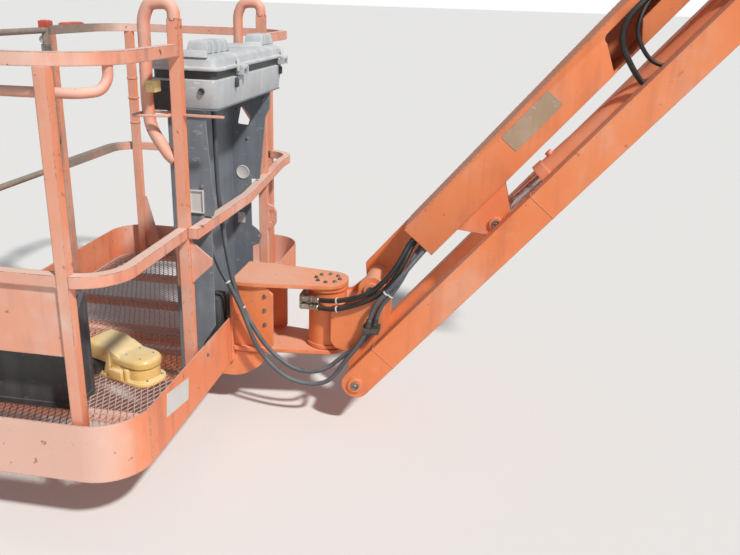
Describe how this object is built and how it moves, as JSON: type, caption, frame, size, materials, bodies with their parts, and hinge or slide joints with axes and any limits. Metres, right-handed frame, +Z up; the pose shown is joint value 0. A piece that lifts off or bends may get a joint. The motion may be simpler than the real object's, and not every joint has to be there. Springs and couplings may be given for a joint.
{
  "type": "boom lift work platform with jib",
  "caption": "Work platform of a boom lift with guard rails, entry gate and console, on a rotator and a parallelogram jib moved by a cylinder.",
  "frame": {"origin": "middle of the bore in the nose bracket where the jib pins to the boom", "axes": "+X level from the boom towards the platform, +Y to the machine's left, +Z up"},
  "size_m": [2.7553, 1.828, 1.8429],
  "materials": {
    "frame_paint": "satin",
    "platform_paint": "matte",
    "cylinder_paint": "satin",
    "rod_chrome": "polished",
    "pin_steel": "satin",
    "fitting_steel": "satin",
    "floor_mesh": "matte",
    "pedestal_paint": "satin",
    "console_plastic": "matte",
    "lever_plastic": "matte",
    "box_plastic": "matte",
    "hose_rubber": "matte",
    "cable_rubber": "matte",
    "bracket_steel": "satin",
    "holder_metal": "satin",
    "switch_paint": "satin"
  },
  "bodies": {
    "nose": {"nose_plates": "frame_paint", "nose_cross": "frame_paint", "nose_pins": "pin_steel"},
    "upper_arm": {"upper_arm": "frame_paint", "upper_arm_cover": "frame_paint", "cylinder_lug": "frame_paint", "cylinder_lug_pins": "pin_steel", "hose_blocks": "bracket_steel", "rotator_hose_1": "hose_rubber", "rotator_hose_2": "hose_rubber", "arm_cable_1": "cable_rubber", "arm_cable_2": "cable_rubber", "slot_hose_1": "hose_rubber", "slot_hose_2": "hose_rubber"},
    "lower_arms": {"lower_arm_left": "frame_paint", "lower_arm_right": "frame_paint"},
    "cylinder_barrel": {"cylinder_barrel": "cylinder_paint"},
    "cylinder_rod": {"cylinder_rod": "rod_chrome"},
    "knuckle": {"knuckle": "frame_paint", "knuckle_pins": "pin_steel", "rotator_housing": "frame_paint", "port_block": "fitting_steel", "hose_clamp": "bracket_steel"},
    "platform": {"platform_mount": "frame_paint", "support_beams": "frame_paint", "toe_board": "platform_paint", "floor_frame": "platform_paint", "floor_mesh": "floor_mesh", "posts": "platform_paint", "top_rail": "platform_paint", "mid_rail": "platform_paint", "post_gussets": "platform_paint", "hand_rail": "platform_paint", "console_hoops": "platform_paint", "hoop_braces": "platform_paint", "console_pedestal": "pedestal_paint", "document_holder": "holder_metal", "console_box": "console_plastic", "lid_hinge_brackets": "pin_steel", "control_levers": "lever_plastic", "end_panel": "platform_paint", "manual_box": "box_plastic", "post_feet": "platform_paint", "lanyard_anchor": "platform_paint", "foot_switch": "switch_paint", "gate_hinges": "pin_steel", "platform_cable_1": "cable_rubber", "platform_cable_2": "cable_rubber"},
    "console_lid": {"console_lid": "console_plastic"},
    "entry_gate": {"entry_gate": "platform_paint"}
  },
  "joints": [
    {"name": "jib_lift", "type": "hinge", "parent": "nose", "child": "upper_arm", "pos_m": [0.1045, 0, 0.138], "axis": [0, -1, 0], "range_deg": [-5, 120]},
    {"name": "lower_arm_swing", "type": "hinge", "parent": "nose", "child": "lower_arms", "pos_m": [0.14, 0, -0.2], "axis": [0, -1, 0], "range_deg": [-5, 120]},
    {"name": "knuckle_level", "type": "hinge", "parent": "upper_arm", "child": "knuckle", "pos_m": [1.2808, 0, -1.26386], "axis": [0, -1, 0], "range_deg": [-120, 5], "deforming": ["rotator_hose_1", "rotator_hose_2", "arm_cable_1", "arm_cable_2"]},
    {"name": "cylinder_swing", "type": "hinge", "parent": "nose", "child": "cylinder_barrel", "pos_m": [0.14, 0, -0.2], "axis": [0, -1, 0], "range_deg": [-5, 118]},
    {"name": "rod_slide", "type": "slide", "parent": "cylinder_barrel", "child": "cylinder_rod", "axis": [0.6744, 0, -0.7384], "range_m": [-0.025, 0.587]},
    {"name": "platform_swing", "type": "hinge", "parent": "knuckle", "child": "platform", "pos_m": [1.4533, 0, -1.40186], "axis": [0, 0, 1], "range_deg": [-90, 90], "deforming": ["platform_cable_1", "platform_cable_2"]},
    {"name": "lid_open", "type": "hinge", "parent": "platform", "child": "console_lid", "pos_m": [1.7043, 0, -0.53786], "axis": [0, -1, 0], "range_deg": [0, 100]},
    {"name": "gate_open", "type": "hinge", "parent": "platform", "child": "entry_gate", "pos_m": [2.6633, -0.3385, -0.78186], "axis": [0, 0, 1], "range_deg": [0, 90]}
  ],
  "couplings": [
    {"joint": "lower_arm_swing", "follows": "jib_lift", "ratio": 1},
    {"joint": "knuckle_level", "follows": "jib_lift", "ratio": -1},
    {"joint": "cylinder_swing", "follows": "jib_lift", "ratio": 0.9813},
    {"joint": "rod_slide", "follows": "jib_lift", "m_per_rad": 0.28}
  ]
}
